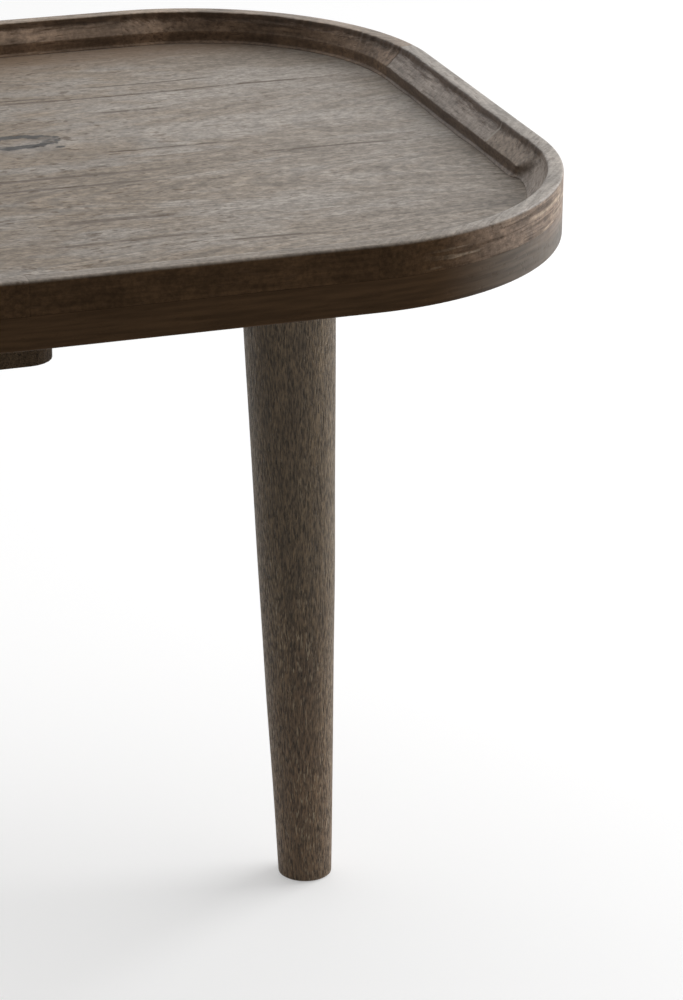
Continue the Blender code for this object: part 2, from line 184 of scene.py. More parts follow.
# Screws: shares of the head's radius, and heights in metres
SCREW_SIDES = 48
SCREW_HEAD = ((0.96, 0.0), (1.0, 0.00018), (0.5, 0.0025))
SCREW_SHANK = 0.5
SCREW_POINT = 0.003
SCREW_TIP = 0.02
RECESS_REACH = 0.56
RECESS_HALF = 0.15
RECESS_TAPER = 0.62
RECESS_DEPTH = 0.42
SCREW_TURN = 0.9
SCREW_SHARP_ANGLE = 35.0

# Colours of the stained wood and the steel; some of them carry painted light and shade
TRAY_WARM = (0.282, 0.217, 0.153)
TRAY_GREY = (0.240, 0.207, 0.174)
# pale grey laid over the right of the boards as painted sheen
TRAY_SHEEN_PALE = (0.282, 0.254, 0.227)
TRAY_DARK = (0.095, 0.066, 0.044)
# darker, warmer tone for the painted shade along the rear wall
TRAY_REAR_SHADE = (0.170, 0.112, 0.070)
KNOT_BLACK = (0.012, 0.010, 0.009)
STEP_BROWN = (0.078, 0.046, 0.026)
FACE_BROWN = (0.072, 0.041, 0.0205)
# lighter brown for the sides of the rim and the boards' upper edge: painted light
SIDE_LIT_BROWN = (0.252, 0.180, 0.130)
# grey for the sides of the boards' edges: painted sheen
EDGE_SHEEN_GREY = (0.124, 0.097, 0.073)
STREAK_TAN = (0.470, 0.375, 0.275)
SEAM_PALE = (0.400, 0.360, 0.310)
# dark tone for the rim's wall: painted shade in the crease
WALL_SHADE_BROWN = (0.100, 0.064, 0.040)
GREY_RIM = {
    "top": (0.285, 0.250, 0.216),
    "ramp": (0.295, 0.248, 0.212),
    "wall": WALL_SHADE_BROWN,
    "mottle": 0.14,
}
FRONT_RIM = {
    "top": (0.245, 0.207, 0.170),
    "ramp": (0.250, 0.215, 0.185),
    "wall": WALL_SHADE_BROWN,
    "mottle": 0.14,
}
CORNER_RIM = {**GREY_RIM, "front_top": FRONT_RIM["top"], "tail": (0.250, 0.196, 0.152)}
BROWN_RIM = {
    "top": (0.260, 0.200, 0.150),
    "ramp": (0.250, 0.175, 0.122),
    # a dark wall tone: painted shade in the crease
    "wall": (0.165, 0.105, 0.064),
    "mottle": 0.30,
}
LEG_TONES = ((0.067, 0.043, 0.022), (0.116, 0.080, 0.044), (0.182, 0.131, 0.079))
UNDER_TONES = ((0.064, 0.041, 0.023), (0.092, 0.061, 0.035), (0.126, 0.087, 0.052))
LEG_LOOK = {"tones": LEG_TONES, "contrast": 0.65, "flecks": 0.8, "sheen": 1.0, "specular": 0.35}
UNDER_LOOK = {"tones": UNDER_TONES, "contrast": 0.35, "flecks": 0.0, "sheen": 0.0, "specular": 0.06}
FLECK_PALE = (0.450, 0.355, 0.240)
SHEEN_WARM = (1.0, 0.86, 0.70)
SHEEN_ROUGHNESS = 0.35
LEG_FOOT_TONE = (0.194, 0.115, 0.062)
STEEL_DARK = (0.42, 0.42, 0.40)
STEEL_LIGHT = (0.62, 0.61, 0.57)

# Noise, in waves per metre along the three axes
NOISE_LOW = 0.30
NOISE_HIGH = 0.70
GRAIN_SWAY = (7.0, 14.0, 14.0)
TRAY_RINGS = (3.5, 22.0, 22.0)
TRAY_PATCHES = (7.0, 18.0, 18.0)
TRAY_DRIFT = (26.0, 85.0, 85.0)
TRAY_DAPPLE = (185.0, 300.0, 300.0)
TRAY_SPECKLE = (420.0, 620.0, 620.0)
STROKE_BREAKS = (120.0, 40.0, 40.0)
EDGE_BANDS = (30.0, 30.0, 420.0)
KNOT_WAVES = (150.0, 150.0, 150.0)
KNOT_BREAKS = (90.0, 120.0, 90.0)
RIM_STREAKS = (45.0, 420.0, 420.0)
RIM_MOTTLE = (420.0, 420.0, 420.0)
RIM_PATCHES = (34.0, 34.0, 34.0)
RIM_RAG = (75.0, 75.0, 75.0)
RIM_BRUSH = (42.0, 330.0, 330.0)
FACE_BARS = (30.0, 30.0, 560.0)
FACE_GATE = (18.0, 18.0, 90.0)
LEG_FIBRES = (200.0, 1400.0, 1400.0)
LEG_THREADS = (38.0, 420.0, 420.0)
LEG_BANDS = (5.0, 60.0, 60.0)
LEG_PATCHES = (11.0, 34.0, 34.0)
LEG_FLECKS = (190.0, 1300.0, 1300.0)
FLECK_GATE = (24.0, 70.0, 70.0)
STEEL_MOTTLE = (420.0, 420.0, 420.0)
STEEL_SCRATCHES = (300.0, 300.0, 4000.0)

# Figure of the tray boards, from front to rear. A stroke is a dark line: depth, first, last and width.
RING_WAVES = 62.0
KNOT_BOARD = 2
KNOT_PLACE = (-0.022, 0.044)
KNOT_SIZE = (0.019, 0.0095)
DASH_PLACE = (-0.0012, 0.030)
DASH_SIZE = (0.0036, 0.0022)
TRAY_FIGURES = (
    {
        "vertex": (-0.06, -0.170),
        "curve": 150.0,
        "rough_sawn": 1.25,
        "strokes": ((-0.130, -0.06, 0.03, 0.0022), (-0.147, 0.02, 0.09, 0.0020)),
    },
    {
        "vertex": (0.30, -0.062),
        "curve": 110.0,
        "rough_sawn": 1.15,
        "strokes": (
            (-0.023, -0.07, 0.050, 0.0026),
            (-0.040, -0.07, 0.040, 0.0024),
            (-0.097, -0.04, 0.030, 0.0036),
            (-0.012, 0.09, 0.175, 0.0018),
        ),
    },
    {
        "vertex": (0.022, 0.035),
        "curve": 40.0,
        "rough_sawn": 0.85,
        "strokes": ((0.012, 0.01, 0.100, 0.0018), (0.084, 0.03, 0.075, 0.0020)),
    },
    {
        "vertex": (-0.25, 0.172),
        "curve": 170.0,
        "rough_sawn": 0.80,
        "strokes": (
            (0.1150, -0.10, 0.210, 0.0020),
            (0.1205, -0.10, 0.030, 0.0018),
            (0.134, 0.03, 0.12, 0.0015),
        ),
    },
)


class Nodes:
    """Short forms for the shader nodes that the materials share."""

    def __init__(self, name):
        self.material = bpy.data.materials.new(name)
        self.material.use_nodes = True
        self.tree = self.material.node_tree
        self.shader = self.tree.nodes["Principled BSDF"]
        self.coordinates = self.add("ShaderNodeTexCoord").outputs["Object"]

    def add(self, kind, **settings):
        made = self.tree.nodes.new(kind)
        for key, value in settings.items():
            setattr(made, key, value)
        return made

    def feed(self, socket, value):
        if isinstance(value, bpy.types.NodeSocket):
            self.tree.links.new(value, socket)
        elif socket.type == "RGBA" and len(value) == 3:
            socket.default_value = (*value, 1.0)
        else:
            socket.default_value = value

    def math(self, operation, a, b=0.0):
        made = self.add("ShaderNodeMath", operation=operation)
        self.feed(made.inputs[0], a)
        self.feed(made.inputs[1], b)
        return made.outputs[0]

    def times(self, a, b):
        return self.math("MULTIPLY", a, b)

    def plus(self, a, b):
        return self.math("ADD", a, b)

    def minus(self, a, b):
        return self.math("SUBTRACT", a, b)

    def size(self, a):
        return self.math("ABSOLUTE", a)

    def swing(self, value, reach):
        """A noise moved to lie around zero, times a reach."""
        return self.times(self.plus(value, -0.5), reach)

    def split(self, vector):
        made = self.add("ShaderNodeSeparateXYZ")
        self.feed(made.inputs[0], vector)
        return made.outputs

    def mapped(self, vector, location=(0, 0, 0), rotation=(0, 0, 0), scale=(1, 1, 1)):
        made = self.add("ShaderNodeMapping")
        self.feed(made.inputs["Vector"], vector)
        made.inputs["Location"].default_value = location
        made.inputs["Rotation"].default_value = rotation
        made.inputs["Scale"].default_value = scale
        return made.outputs[0]

    def noise(self, vector, scale, detail=2.0, roughness=0.5):
        made = self.add("ShaderNodeTexNoise")
        self.feed(made.inputs["Vector"], self.mapped(vector, scale=scale))
        made.inputs["Scale"].default_value = 1.0
        made.inputs["Detail"].default_value = detail
        made.inputs["Roughness"].default_value = roughness
        made.inputs["Distortion"].default_value = 0.0
        return made.outputs["Fac"]

    def lines(self, value, scale, detail, roughness):
        """Noise along one number."""
        made = self.add("ShaderNodeTexNoise", noise_dimensions="1D")
        self.feed(made.inputs["W"], value)
        made.inputs["Scale"].default_value = scale
        made.inputs["Detail"].default_value = detail
        made.inputs["Roughness"].default_value = roughness
        return made.outputs["Fac"]

    def spread(self, value, low, high, to_low=0.0, to_high=1.0):
        made = self.add("ShaderNodeMapRange", interpolation_type="SMOOTHSTEP")
        self.feed(made.inputs["Value"], value)
        for name, number in zip(("From Min", "From Max", "To Min", "To Max"), (low, high, to_low, to_high)):
            made.inputs[name].default_value = number
        return made.outputs["Result"]

    def vary(self, value, to_low, to_high):
        """Turns the middle range of a noise into a range of numbers."""
        return self.spread(value, NOISE_LOW, NOISE_HIGH, to_low, to_high)

    def blend(self, factor, a, b, kind="MIX"):
        made = self.add("ShaderNodeMix", data_type="RGBA", blend_type=kind)
        self.feed(made.inputs["Factor"], factor)
        first, second = [socket for socket in made.inputs if socket.type == "RGBA"]
        self.feed(first, a)
        self.feed(second, b)
        return [socket for socket in made.outputs if socket.type == "RGBA"][0]

    def shade(self, colour, factor):
        """Multiplies a colour by a number."""
        return self.blend(1.0, colour, factor, "MULTIPLY")

    def sum(self, a, b):
        made = self.add("ShaderNodeVectorMath", operation="ADD")
        self.feed(made.inputs[0], a)
        self.feed(made.inputs[1], b)
        return made.outputs[0]

    def distance(self, place, size):
        """The distance from a place on the tray, in units of a size along X and Y."""
        location = (-place[0] / size[0], -place[1] / size[1], 0)
        made = self.add("ShaderNodeVectorMath", operation="LENGTH")
        scaled = self.mapped(self.coordinates, location=location, scale=(1 / size[0], 1 / size[1], 0))
        self.feed(made.inputs[0], scaled)
        return made.outputs["Value"]

    def attribute(self, name):
        return self.add("ShaderNodeAttribute", attribute_name=name).outputs["Fac"]

    def finish(self, colour, roughness, height, strength=0.35, distance=0.0005, specular=0.5):
        bump = self.add("ShaderNodeBump")
        bump.inputs["Strength"].default_value = strength
        bump.inputs["Distance"].default_value = distance
        self.feed(bump.inputs["Height"], height)
        self.feed(self.shader.inputs["Base Color"], colour)
        self.feed(self.shader.inputs["Roughness"], roughness)
        self.feed(self.shader.inputs["Specular IOR Level"], specular)
        self.feed(self.shader.inputs["Normal"], bump.outputs[0])
        return self.material


def along_grain(n, turn, offset, sway=0.006):
    """Coordinates whose X runs along a slightly wavy grain."""
    grain = n.mapped(n.coordinates, location=offset, rotation=turn)
    wave = n.swing(n.noise(grain, GRAIN_SWAY), 2 * sway)
    shift = n.add("ShaderNodeCombineXYZ")
    for axis in (1, 2):
        n.feed(shift.inputs[axis], wave)
    return n.sum(grain, shift.outputs[0])


def pores(n, grain, length, width, gather, pull=0.22, low=0.58, high=0.70):
    """Short dark vessel lines, closer together where gather is high."""
    fine = n.noise(grain, (1 / length, 1 / width, 1 / width))
    return n.spread(n.plus(fine, n.swing(gather, pull)), low, high)


def stroke(n, grain, depth, first, last, width):
    """A mask for one dark line along the grain."""
    x, y, _ = n.split(grain)
    line = n.spread(n.size(n.plus(y, -depth)), 0.3 * width, width, 1.0, 0.0)
    reach = (last - first) / 2
    along = n.size(n.plus(x, -(first + last) / 2))
    broken = n.spread(n.noise(grain, STROKE_BREAKS), 0.34, 0.50, 0.45, 1.0)
    return n.times(n.times(line, n.spread(along, 0.6 * reach, reach, 1.0, 0.0)), broken)


def tray_wood(index, vertex, curve, rough_sawn, strokes):
    """A tray board: flat-sawn figure round a vertex, tan and grey patches, pores and dark lines."""
    n = Nodes(f"tray_wood_{index + 1}")
    grain = along_grain(n, (0, 0, 0), (0.0, 0.0, 0.31 * index))
    x, y, _ = n.split(grain)
    off = n.plus(y, -vertex[1])
    ring = n.minus(n.plus(x, -vertex[0]), n.times(n.times(off, off), curve))
    ring = n.plus(ring, n.times(n.noise(grain, TRAY_RINGS, detail=3.0), 0.030))
    figure = n.lines(n.plus(ring, 3.7 * index), RING_WAVES, detail=3.0, roughness=0.6)
    patches = n.noise(grain, TRAY_PATCHES, detail=3.0, roughness=0.55)
    drift = n.noise(n.sum(grain, (5.2, 1.1, 0.0)), TRAY_DRIFT, detail=3.0, roughness=0.6)
    dapple = n.noise(grain, TRAY_DAPPLE, detail=3.0, roughness=0.62)
    speckle = n.noise(grain, TRAY_SPECKLE, roughness=0.6)

    # tan and grey patches; the grey is partly the wood's own tone and partly painted sheen
    greyed = n.plus(n.times(patches, 0.6), n.times(drift, 0.4))
    colour = n.blend(n.spread(greyed, 0.42, 0.57), TRAY_WARM, TRAY_GREY)
    # painted sheen: the boards turn paler and greyer towards the right, where the lamp's sheen falls; the
    # same mask also leaves fewer pores there
    sheen_and_calm = n.spread(n.plus(x, n.times(drift, 0.06)), -0.02, 0.20)
    colour = n.blend(n.times(sheen_and_calm, 0.55), colour, TRAY_SHEEN_PALE)
    rings = n.spread(figure, 0.34, 0.66, 1.0 - 0.20 * rough_sawn, 1.0 + 0.10 * rough_sawn)
    colour = n.shade(colour, rings)
    colour = n.shade(colour, n.spread(patches, 0.32, 0.68, 0.80, 1.16))
    # painted light: darker on the left and lighter towards the right
    colour = n.shade(colour, n.spread(n.plus(x, n.times(patches, 0.08)), 0.0, 0.13, 0.93, 1.10))
    for pattern, darker, lighter in ((drift, 0.20, 0.15), (dapple, 0.19, 0.15)):
        colour = n.shade(colour, n.vary(pattern, 1.0 - darker * rough_sawn, 1.0 + lighter * rough_sawn))
    colour = n.shade(colour, n.vary(speckle, 0.82, 1.17))
    _, depth, up = n.split(n.coordinates)
    # painted shade: a darker, warmer band along the rear wall, where the rear rim shades the floor
    ragged = n.plus(depth, n.swing(patches, 0.035))
    colour = n.blend(n.spread(ragged, 0.160, 0.205, 0.0, 0.75), colour, TRAY_REAR_SHADE)
    gather = n.plus(n.times(figure, 0.5), n.times(drift, 0.5))
    open_pores = pores(n, grain, 0.0075, 0.0032, gather, 0.55, 0.60, 0.70)
    open_pores = n.times(open_pores, n.spread(sheen_and_calm, 0.0, 1.0, 1.0, 0.55))
    colour = n.blend(n.times(open_pores, 0.62), colour, TRAY_DARK)
    for mark in strokes:
        colour = n.blend(n.times(stroke(n, grain, *mark), 0.95), colour, TRAY_DARK)
    if index == KNOT_BOARD:
        colour = n.blend(knot_mark(n), colour, KNOT_BLACK)

    edge = n.attribute("edge")
    sideways = n.attribute("sideways")
    # painted light: the boards' edge goes from the dark front tone to lighter tones on faces that turn
    # sideways, for the side lamp and the sheen there
    face = n.blend(n.spread(sideways, 0.20, 0.62), FACE_BROWN, EDGE_SHEEN_GREY)
    upper = n.times(n.spread(up, BOARD_TOP - 0.009, BOARD_TOP - 0.001), n.spread(sideways, 0.55, 0.98))
    face = n.blend(upper, face, SIDE_LIT_BROWN)
    face = n.shade(face, n.vary(n.noise(n.coordinates, EDGE_BANDS, detail=3.0), 0.78, 1.20))
    colour = n.blend(edge, colour, face)
    height = n.minus(n.times(dapple, 0.35), n.times(open_pores, 0.8))
    rough = n.plus(n.vary(dapple, 0.54, 0.44), n.times(open_pores, 0.2))
    edge_gloss = n.times(n.spread(sideways, 0.2, 0.7, 0.03, 0.25), edge)
    gloss = n.plus(edge_gloss, n.spread(edge, 0.0, 1.0, 0.36, 0.0))
    return n.finish(colour, rough, height, specular=gloss)


def knot_mark(n):
    """A dark, broken loop round a small knot, with a dash next to it."""
    wavy = n.noise(n.coordinates, KNOT_WAVES, detail=3.0, roughness=0.6)
    far = n.plus(n.distance(KNOT_PLACE, KNOT_SIZE), n.swing(wavy, 0.9))
    broken = n.spread(n.noise(n.coordinates, KNOT_BREAKS), 0.36, 0.48, 0.45, 1.0)
    line = n.times(n.spread(n.size(n.plus(far, -1.0)), 0.20, 0.36, 1.0, 0.0), broken)
    near = n.plus(n.distance(DASH_PLACE, DASH_SIZE), n.times(wavy, 0.9))
    spot = n.spread(near, 1.0, 1.35, 1.0, 0.0)
    x, _, _ = n.split(n.coordinates)
    line = n.times(line, n.spread(n.plus(x, n.times(wavy, 0.02)), -0.036, -0.022))
    return n.times(n.math("MAXIMUM", line, spot), 0.92)


def rim_wood(name, turn, offset, tones):
    """A piece of the rim: dark faces that turn lighter sideways as painted light, a rubbed top, a ragged
    dark step, a paler ramp, and a dark wall and foot line painted as shade.
    """
    n = Nodes(name)
    grain = along_grain(n, turn, offset)
    across = n.attribute("across")
    sideways = n.attribute("sideways")
    coved = n.attribute("coved")
    streaks = n.noise(grain, RIM_STREAKS, detail=3.0, roughness=0.62)
    mottle = n.noise(n.coordinates, RIM_MOTTLE, detail=3.0, roughness=0.65)
    patches = n.noise(n.coordinates, RIM_PATCHES, detail=3.0, roughness=0.6)
    rag = n.noise(n.coordinates, RIM_RAG, detail=5.0, roughness=0.70)
    brush = n.noise(grain, RIM_BRUSH, detail=4.0, roughness=0.66)
    shifted = n.plus(across, n.swing(brush, 1.1))

    # painted light: the outer face goes from the dark front tone to a lighter tone on faces that turn
    # sideways, for the side lamp and the sheen there
    face = n.blend(n.spread(sideways, 0.20, 0.60), FACE_BROWN, SIDE_LIT_BROWN)
    bars = n.noise(n.coordinates, FACE_BARS, roughness=0.55)
    gate = n.noise(n.coordinates, FACE_GATE)
    bright = n.times(n.spread(bars, 0.50, 0.60), n.spread(gate, 0.40, 0.56))
    face = n.blend(n.times(bright, n.spread(sideways, 0.14, 0.45, 0.0, 0.72)), face, STREAK_TAN)
    dim = n.times(n.spread(bars, 0.46, 0.36), n.spread(sideways, 0.14, 0.45, 0.0, 0.65))
    face = n.blend(dim, face, FACE_BROWN)
    worn = n.shade(face, n.spread(rag, 0.36, 0.64, 0.80, 1.18))
    face = n.blend(n.spread(sideways, 0.14, 0.45), face, worn)

    top_tone = tones["top"]
    if "front_top" in tones:
        top_tone = n.blend(n.spread(sideways, 0.02, 0.60), tones["front_top"], tones["top"])
    ramp_tone = tones["ramp"]
    if "tail" in tones:
        ramp_tone = n.blend(n.spread(coved, 0.1, 0.8), tones["tail"], tones["ramp"])
    colour = n.blend(n.spread(across, 0.88, 1.02), face, top_tone)
    colour = n.blend(n.spread(across, 1.93, 2.00), colour, ramp_tone)
    brown = n.times(n.spread(across, 1.93, 1.99), n.spread(shifted, 2.56, 2.20, 0.0, 1.0))
    brown = n.times(brown, n.spread(coved, 0.05, 0.5, 0.92, 0.30))
    colour = n.blend(brown, colour, STEP_BROWN)
    foot = n.plus(across, n.swing(rag, 0.12))
    # painted shade: the wall at the rim's foot is darkened for the shade in the crease above the tray's
    # floor
    wall = n.times(n.spread(foot, 2.95, 3.01), n.spread(coved, 0.0, 0.3, 0.95, 0.0))
    colour = n.blend(wall, colour, tones["wall"])
    lip = n.times(n.spread(foot, 3.66, 3.74), n.spread(coved, 0.0, 0.3, 0.35, 0.0))
    colour = n.blend(lip, colour, tones["ramp"])
    # painted shade: a dark line where the rim meets the tray's floor
    colour = n.blend(n.spread(foot, 3.90, 3.97, 0.0, 0.85), colour, STEP_BROWN)

    colour = n.shade(colour, n.vary(streaks, 0.78, 1.20))
    colour = n.shade(colour, n.vary(mottle, 0.78, 1.20))
    colour = n.shade(colour, n.vary(patches, 1.0 - tones["mottle"], 1.0 + tones["mottle"]))
    open_pores = pores(n, grain, 0.009, 0.0016, patches)
    colour = n.blend(n.times(open_pores, 0.45), colour, STEP_BROWN)
    seam = n.times(n.attribute("seam"), n.spread(across, 2.1, 2.4, 0.6, 1.0))
    seam = n.times(seam, n.spread(across, 2.9, 3.0, 1.0, 0.0))
    colour = n.blend(n.spread(seam, 0.3, 1.0, 0.0, 0.8), colour, SEAM_PALE)
    colour = n.blend(n.spread(seam, -0.2, -1.0, 0.0, 0.7), colour, STEP_BROWN)
    height = n.minus(n.plus(n.times(streaks, 0.35), n.times(rag, 0.5)), n.times(open_pores, 0.7))
    not_face = n.spread(across, 0.92, 1.05)
    top = n.times(not_face, n.spread(across, 1.95, 2.1, 1.0, 0.0))
    rough = n.minus(n.vary(streaks, 0.60, 0.50), n.times(top, 0.14))
    gloss = n.plus(n.spread(sideways, 0.2, 0.7, 0.03, 0.25), n.times(not_face, 0.15))
    return n.finish(colour, rough, height, specular=gloss)


def leg_wood(name, turn, offset, tones, contrast, flecks, sheen, specular):
    """Dark wood with short fine fibres, and small pale flecks that gather low on a leg."""
    n = Nodes(name)
    grain = along_grain(n, turn, offset, sway=0.004)
    dark, middle, light = tones
    fibres = n.noise(grain, LEG_FIBRES, detail=3.0, roughness=0.66)
    threads = n.noise(n.sum(grain, (2.3, 0.9, 4.1)), LEG_THREADS, roughness=0.6)
    bands = n.noise(grain, LEG_BANDS, detail=3.0, roughness=0.6)
    patches = n.noise(grain, LEG_PATCHES)
    _, _, up = n.split(n.coordinates)
    colour = n.blend(n.spread(bands, 0.32, 0.68), dark, light)
    colour = n.blend(n.spread(patches, 0.34, 0.66, 0.15, 0.85), colour, middle)
    if flecks:
        colour = n.blend(n.spread(up, 0.0, 0.24, 0.55, 0.0), colour, LEG_FOOT_TONE)
    colour = n.shade(colour, n.spread(fibres, 0.32, 0.68, 1.0 - contrast, 1.0 + contrast))
    colour = n.shade(colour, n.vary(threads, 0.80, 1.20))
    open_pores = pores(n, grain, 0.009, 0.0011, bands)
    colour = n.blend(n.times(open_pores, 0.40), colour, tuple(0.35 * c for c in dark))
    if flecks:
        spots = n.noise(n.sum(grain, (3.1, 1.7, 0.4)), LEG_FLECKS, detail=1.0)
        gate = n.noise(grain, FLECK_GATE)
        low_down = n.spread(up, 0.10, 0.34, 1.0, 0.15)
        mask = n.times(n.times(n.spread(spots, 0.59, 0.71), n.spread(gate, 0.42, 0.58)), low_down)
        colour = n.blend(n.times(mask, flecks), colour, FLECK_PALE)
    height = n.minus(n.plus(n.times(fibres, 0.7), n.times(threads, 0.5)), n.times(open_pores, 0.6))
    if sheen:
        n.feed(n.shader.inputs["Sheen Weight"], n.spread(fibres, 0.40, 0.64, 0.0, sheen))
        n.shader.inputs["Sheen Roughness"].default_value = SHEEN_ROUGHNESS
        n.shader.inputs["Sheen Tint"].default_value = (*SHEEN_WARM, 1.0)
    return n.finish(colour, n.vary(fibres, 0.58, 0.42), height, 1.0, 0.0009, specular)


def steel():
    """Zinc-plated steel with a faint mottle and fine scratches."""
    n = Nodes("zinc_steel")
    mottle = n.noise(n.coordinates, STEEL_MOTTLE, detail=3.0)
    scratch = n.noise(n.coordinates, STEEL_SCRATCHES)
    colour = n.blend(n.vary(mottle, 0.0, 1.0), STEEL_DARK, STEEL_LIGHT)
    n.shader.inputs["Metallic"].default_value = 1.0
    return n.finish(colour, n.vary(mottle, 0.30, 0.46), scratch, 0.15, 0.0002)


def skin(shaped, rings):
    """Faces between neighbouring rings of vertices."""
    for first, second in zip(rings, rings[1:]):
        count = len(first)
        for j in range(count):
            k = (j + 1) % count
            shaped.faces.new((first[j], first[k], second[k], second[j]))


def to_mesh(name, shaped, materials, angle):
    """Makes a mesh from a bmesh, shaded smooth between edges sharper than an angle."""
    bmesh.ops.recalc_face_normals(shaped, faces=shaped.faces)
    mesh = bpy.data.meshes.new(name)
    shaped.to_mesh(mesh)
    shaped.free()
    for material in materials:
        mesh.materials.append(material)
    mesh.shade_smooth()
    mesh.set_sharp_from_angle(angle=math.radians(angle))
    return mesh


def add_piece(name, shaped, materials, angle=SMOOTH_ANGLE):
    """Makes a piece of the table from a bmesh."""
    piece = bpy.data.objects.new(name, to_mesh(name, shaped, materials, angle))
    bpy.context.scene.collection.objects.link(piece)
    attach(piece, "root")
    return piece


def wobble(place, frequency, size):
    """A small signed number that changes smoothly with place."""
    return noise.noise(Vector(place) * frequency) * size


def edge_wave(place, seed, frequency, size):
    """The wobble of one of the rim's edges."""
    return wobble((place.x, place.y, seed), frequency, size)


def mix(a, b, share):
    return a + (b - a) * share


def ease(low, high, value):
    """0 below low, 1 above high, and smooth between them; low may be the larger."""
    share = min(1.0, max(0.0, (value - low) / (high - low)))
    return share * share * (3 - 2 * share)


def rim_profile(wall, flat, lip):
    """The rim's section as (inwards, up, across) points, from the outer foot over the top to the floor."""
    high = RIM_HEIGHT
    side = high - OUTER_EDGE
    points = [(0.0, mix(-RIM_REST, side, k / 4), 0.9 * k / 4) for k in range(5)]
    for k in range(1, 6):
        a = math.pi / 2 * k / 5
        points.append((OUTER_EDGE * (1 - math.cos(a)), side + OUTER_EDGE * math.sin(a), 0.9 + 0.04 * k))
    for k in range(1, 5):
        points.append((mix(OUTER_EDGE, flat - FLAT_INSET, k / 4), high, 1.1 + 0.2 * k))
    points.append((flat - FLAT_ROUNDING[0], high - FLAT_ROUNDING[1], 1.95))
    edge = (flat + STEP_EDGE[0], high - STEP_EDGE[1])
    points.append((*edge, 2.0))
    step = (flat + RIM_STEP_WIDTH, high - RIM_STEP_DEPTH)
    for k in range(1, 4):
        up = mix(edge[1], step[1] + STEP_FOOT, k / 3)
        points.append((mix(edge[0], step[0], k / 3), up, 2.0 + 0.1 * k))
    head = (step[0] + RAMP_HEAD[0], step[1] - RAMP_HEAD[1])
    points.append((*head, 2.35))
    for k in range(1, 7):
        up = mix(head[1], RIM_WALL + RAMP_FOOT, k / 6)
        points.append((mix(head[0], wall - RAMP_FOOT, k / 6), up, 2.35 + 0.1 * k))
    points.append((wall, RIM_WALL - RAMP_FOOT, 3.0))
    for k in range(1, 5):
        points.append((wall, mix(RIM_WALL - RAMP_FOOT, WALL_FOOT, k / 4), 3.0 + 0.15 * k))
    for share, up, across in LIP_POINTS:
        points.append((wall + share * lip, up, across))
    points.append((wall + lip + LIP_RUNOUT, -RIM_REST, 4.0))
    return points


def cove(turn, up):
    """How far a front corner's inner face has turned from wall and ramp into one slope."""
    start = COVE_START - COVE_TILT * up / RIM_HEIGHT
    return ease(start, start - COVE_TURN, turn) * ease(*COVE_END, turn)


def rim_piece(name, stations, node, material, seams):
    """Lofts the rim through stations of (outer point, inward direction, wall, angle or None)."""
    shaped = bmesh.new()
    layers = {key: shaped.verts.layers.float.new(key) for key in ("across", "sideways", "coved", "seam")}
    rings = []
    last = len(stations) - 1
    for i, (outer, inward, wall, angle) in enumerate(stations):
        flat = RIM_FLAT
        for wave in FLAT_WAVES:
            flat += edge_wave(outer, *wave)
        foot = wall + edge_wave(outer, *FOOT_WAVE)
        lip = LIP_WIDTH + edge_wave(outer, *LIP_WAVE)
        end = JOINT_EASE if i in (0, last) else 0.0
        seam = seams[0] if i == 0 else seams[1] if i == last else 0.0
        cut = foot
        if angle is not None:
            turn = math.degrees(angle)
            flat = mix(flat, FRONT_CORNER_FLAT, ease(*FLAT_NARROWS, turn) * ease(*FLAT_WIDENS, turn))
            cut = foot - CREASE_CUT * ease(*CREASE_TURN, turn)
        ring = []
        for u, v, across in rim_profile(foot, flat, lip):
            turned = cove(turn, v) if angle is not None else 0.0
            if across > 2.0:
                slope = flat + (cut - flat) * min(1.0, max(0.0, 1 - v / RIM_HEIGHT)) ** COVE_HOLLOW
                u = mix(u, max(slope, flat + STEP_EDGE[0]), turned)
            lift = wobble((outer.x + u, outer.y, v), *RAMP_WAVE) if 2.1 < across < 2.95 else 0.0
            level = RIM_BASE + v + lift - (end if across >= 1.0 else 0.0)
            place = outer + inward * (u + (end if across < 1.0 else 0.0))
            vert = shaped.verts.new((place.x, place.y, level))
            vert[layers["across"]] = across
            vert[layers["sideways"]] = abs(inward.x)
            vert[layers["coved"]] = turned
            vert[layers["seam"]] = seam
            ring.append(vert)
        rings.append(ring)
    skin(shaped, rings)
    shaped.faces.new(rings[0])
    shaped.faces.new(rings[-1])
    piece = add_piece(name, shaped, [material], RIM_SHARP_ANGLE)
    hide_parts(node)


def corner_wall(angle):
    """How far inwards the wall stands in a corner, along a ray from the outer arc's centre."""
    end = CORNER_RADIUS - RIM_WIDTH
    side = CORNER_RADIUS - SIDE_RIM_WIDTH
    offset = Vector((side - RIM_INNER_RADIUS, end - RIM_INNER_RADIUS))
    ray = Vector((math.sin(angle), math.cos(angle)))
    if end * ray.x < offset.x * ray.y:
        return CORNER_RADIUS - end / ray.y
    if side * ray.y < offset.y * ray.x:
        return CORNER_RADIUS - side / ray.x
    along = offset.dot(ray)
    return CORNER_RADIUS - along - math.sqrt(along**2 - offset.length_squared + RIM_INNER_RADIUS**2)


def arc_stations(side_x, side_y, start, end):
    """Stations round a corner's arc; the angle is 0 at the front or rear rail."""
    count = max(2, round(abs(end - start) * CORNER_RADIUS / CORNER_STEP))
    centre = Vector((side_x * FLAT_HALF, side_y * FLAT_HALF))
    stations = []
    for i in range(count + 1):
        angle = mix(start, end, i / count)
        out = Vector((side_x * math.sin(angle), side_y * math.cos(angle)))
        wall = corner_wall(angle)
        if side_y < 0:
            wall = mix(RIM_WIDTH, SIDE_RIM_WIDTH, math.sin(angle) ** 2)
        stations.append((centre + out * CORNER_RADIUS, -out, wall, angle if side_y < 0 else None))
    return stations


def line_stations(first, last, inward, wall):
    """Stations along a straight part of the rim."""
    count = max(2, round((last - first).length / RAIL_STEP))
    return [(first.lerp(last, i / count), inward, wall, None) for i in range(count + 1)]


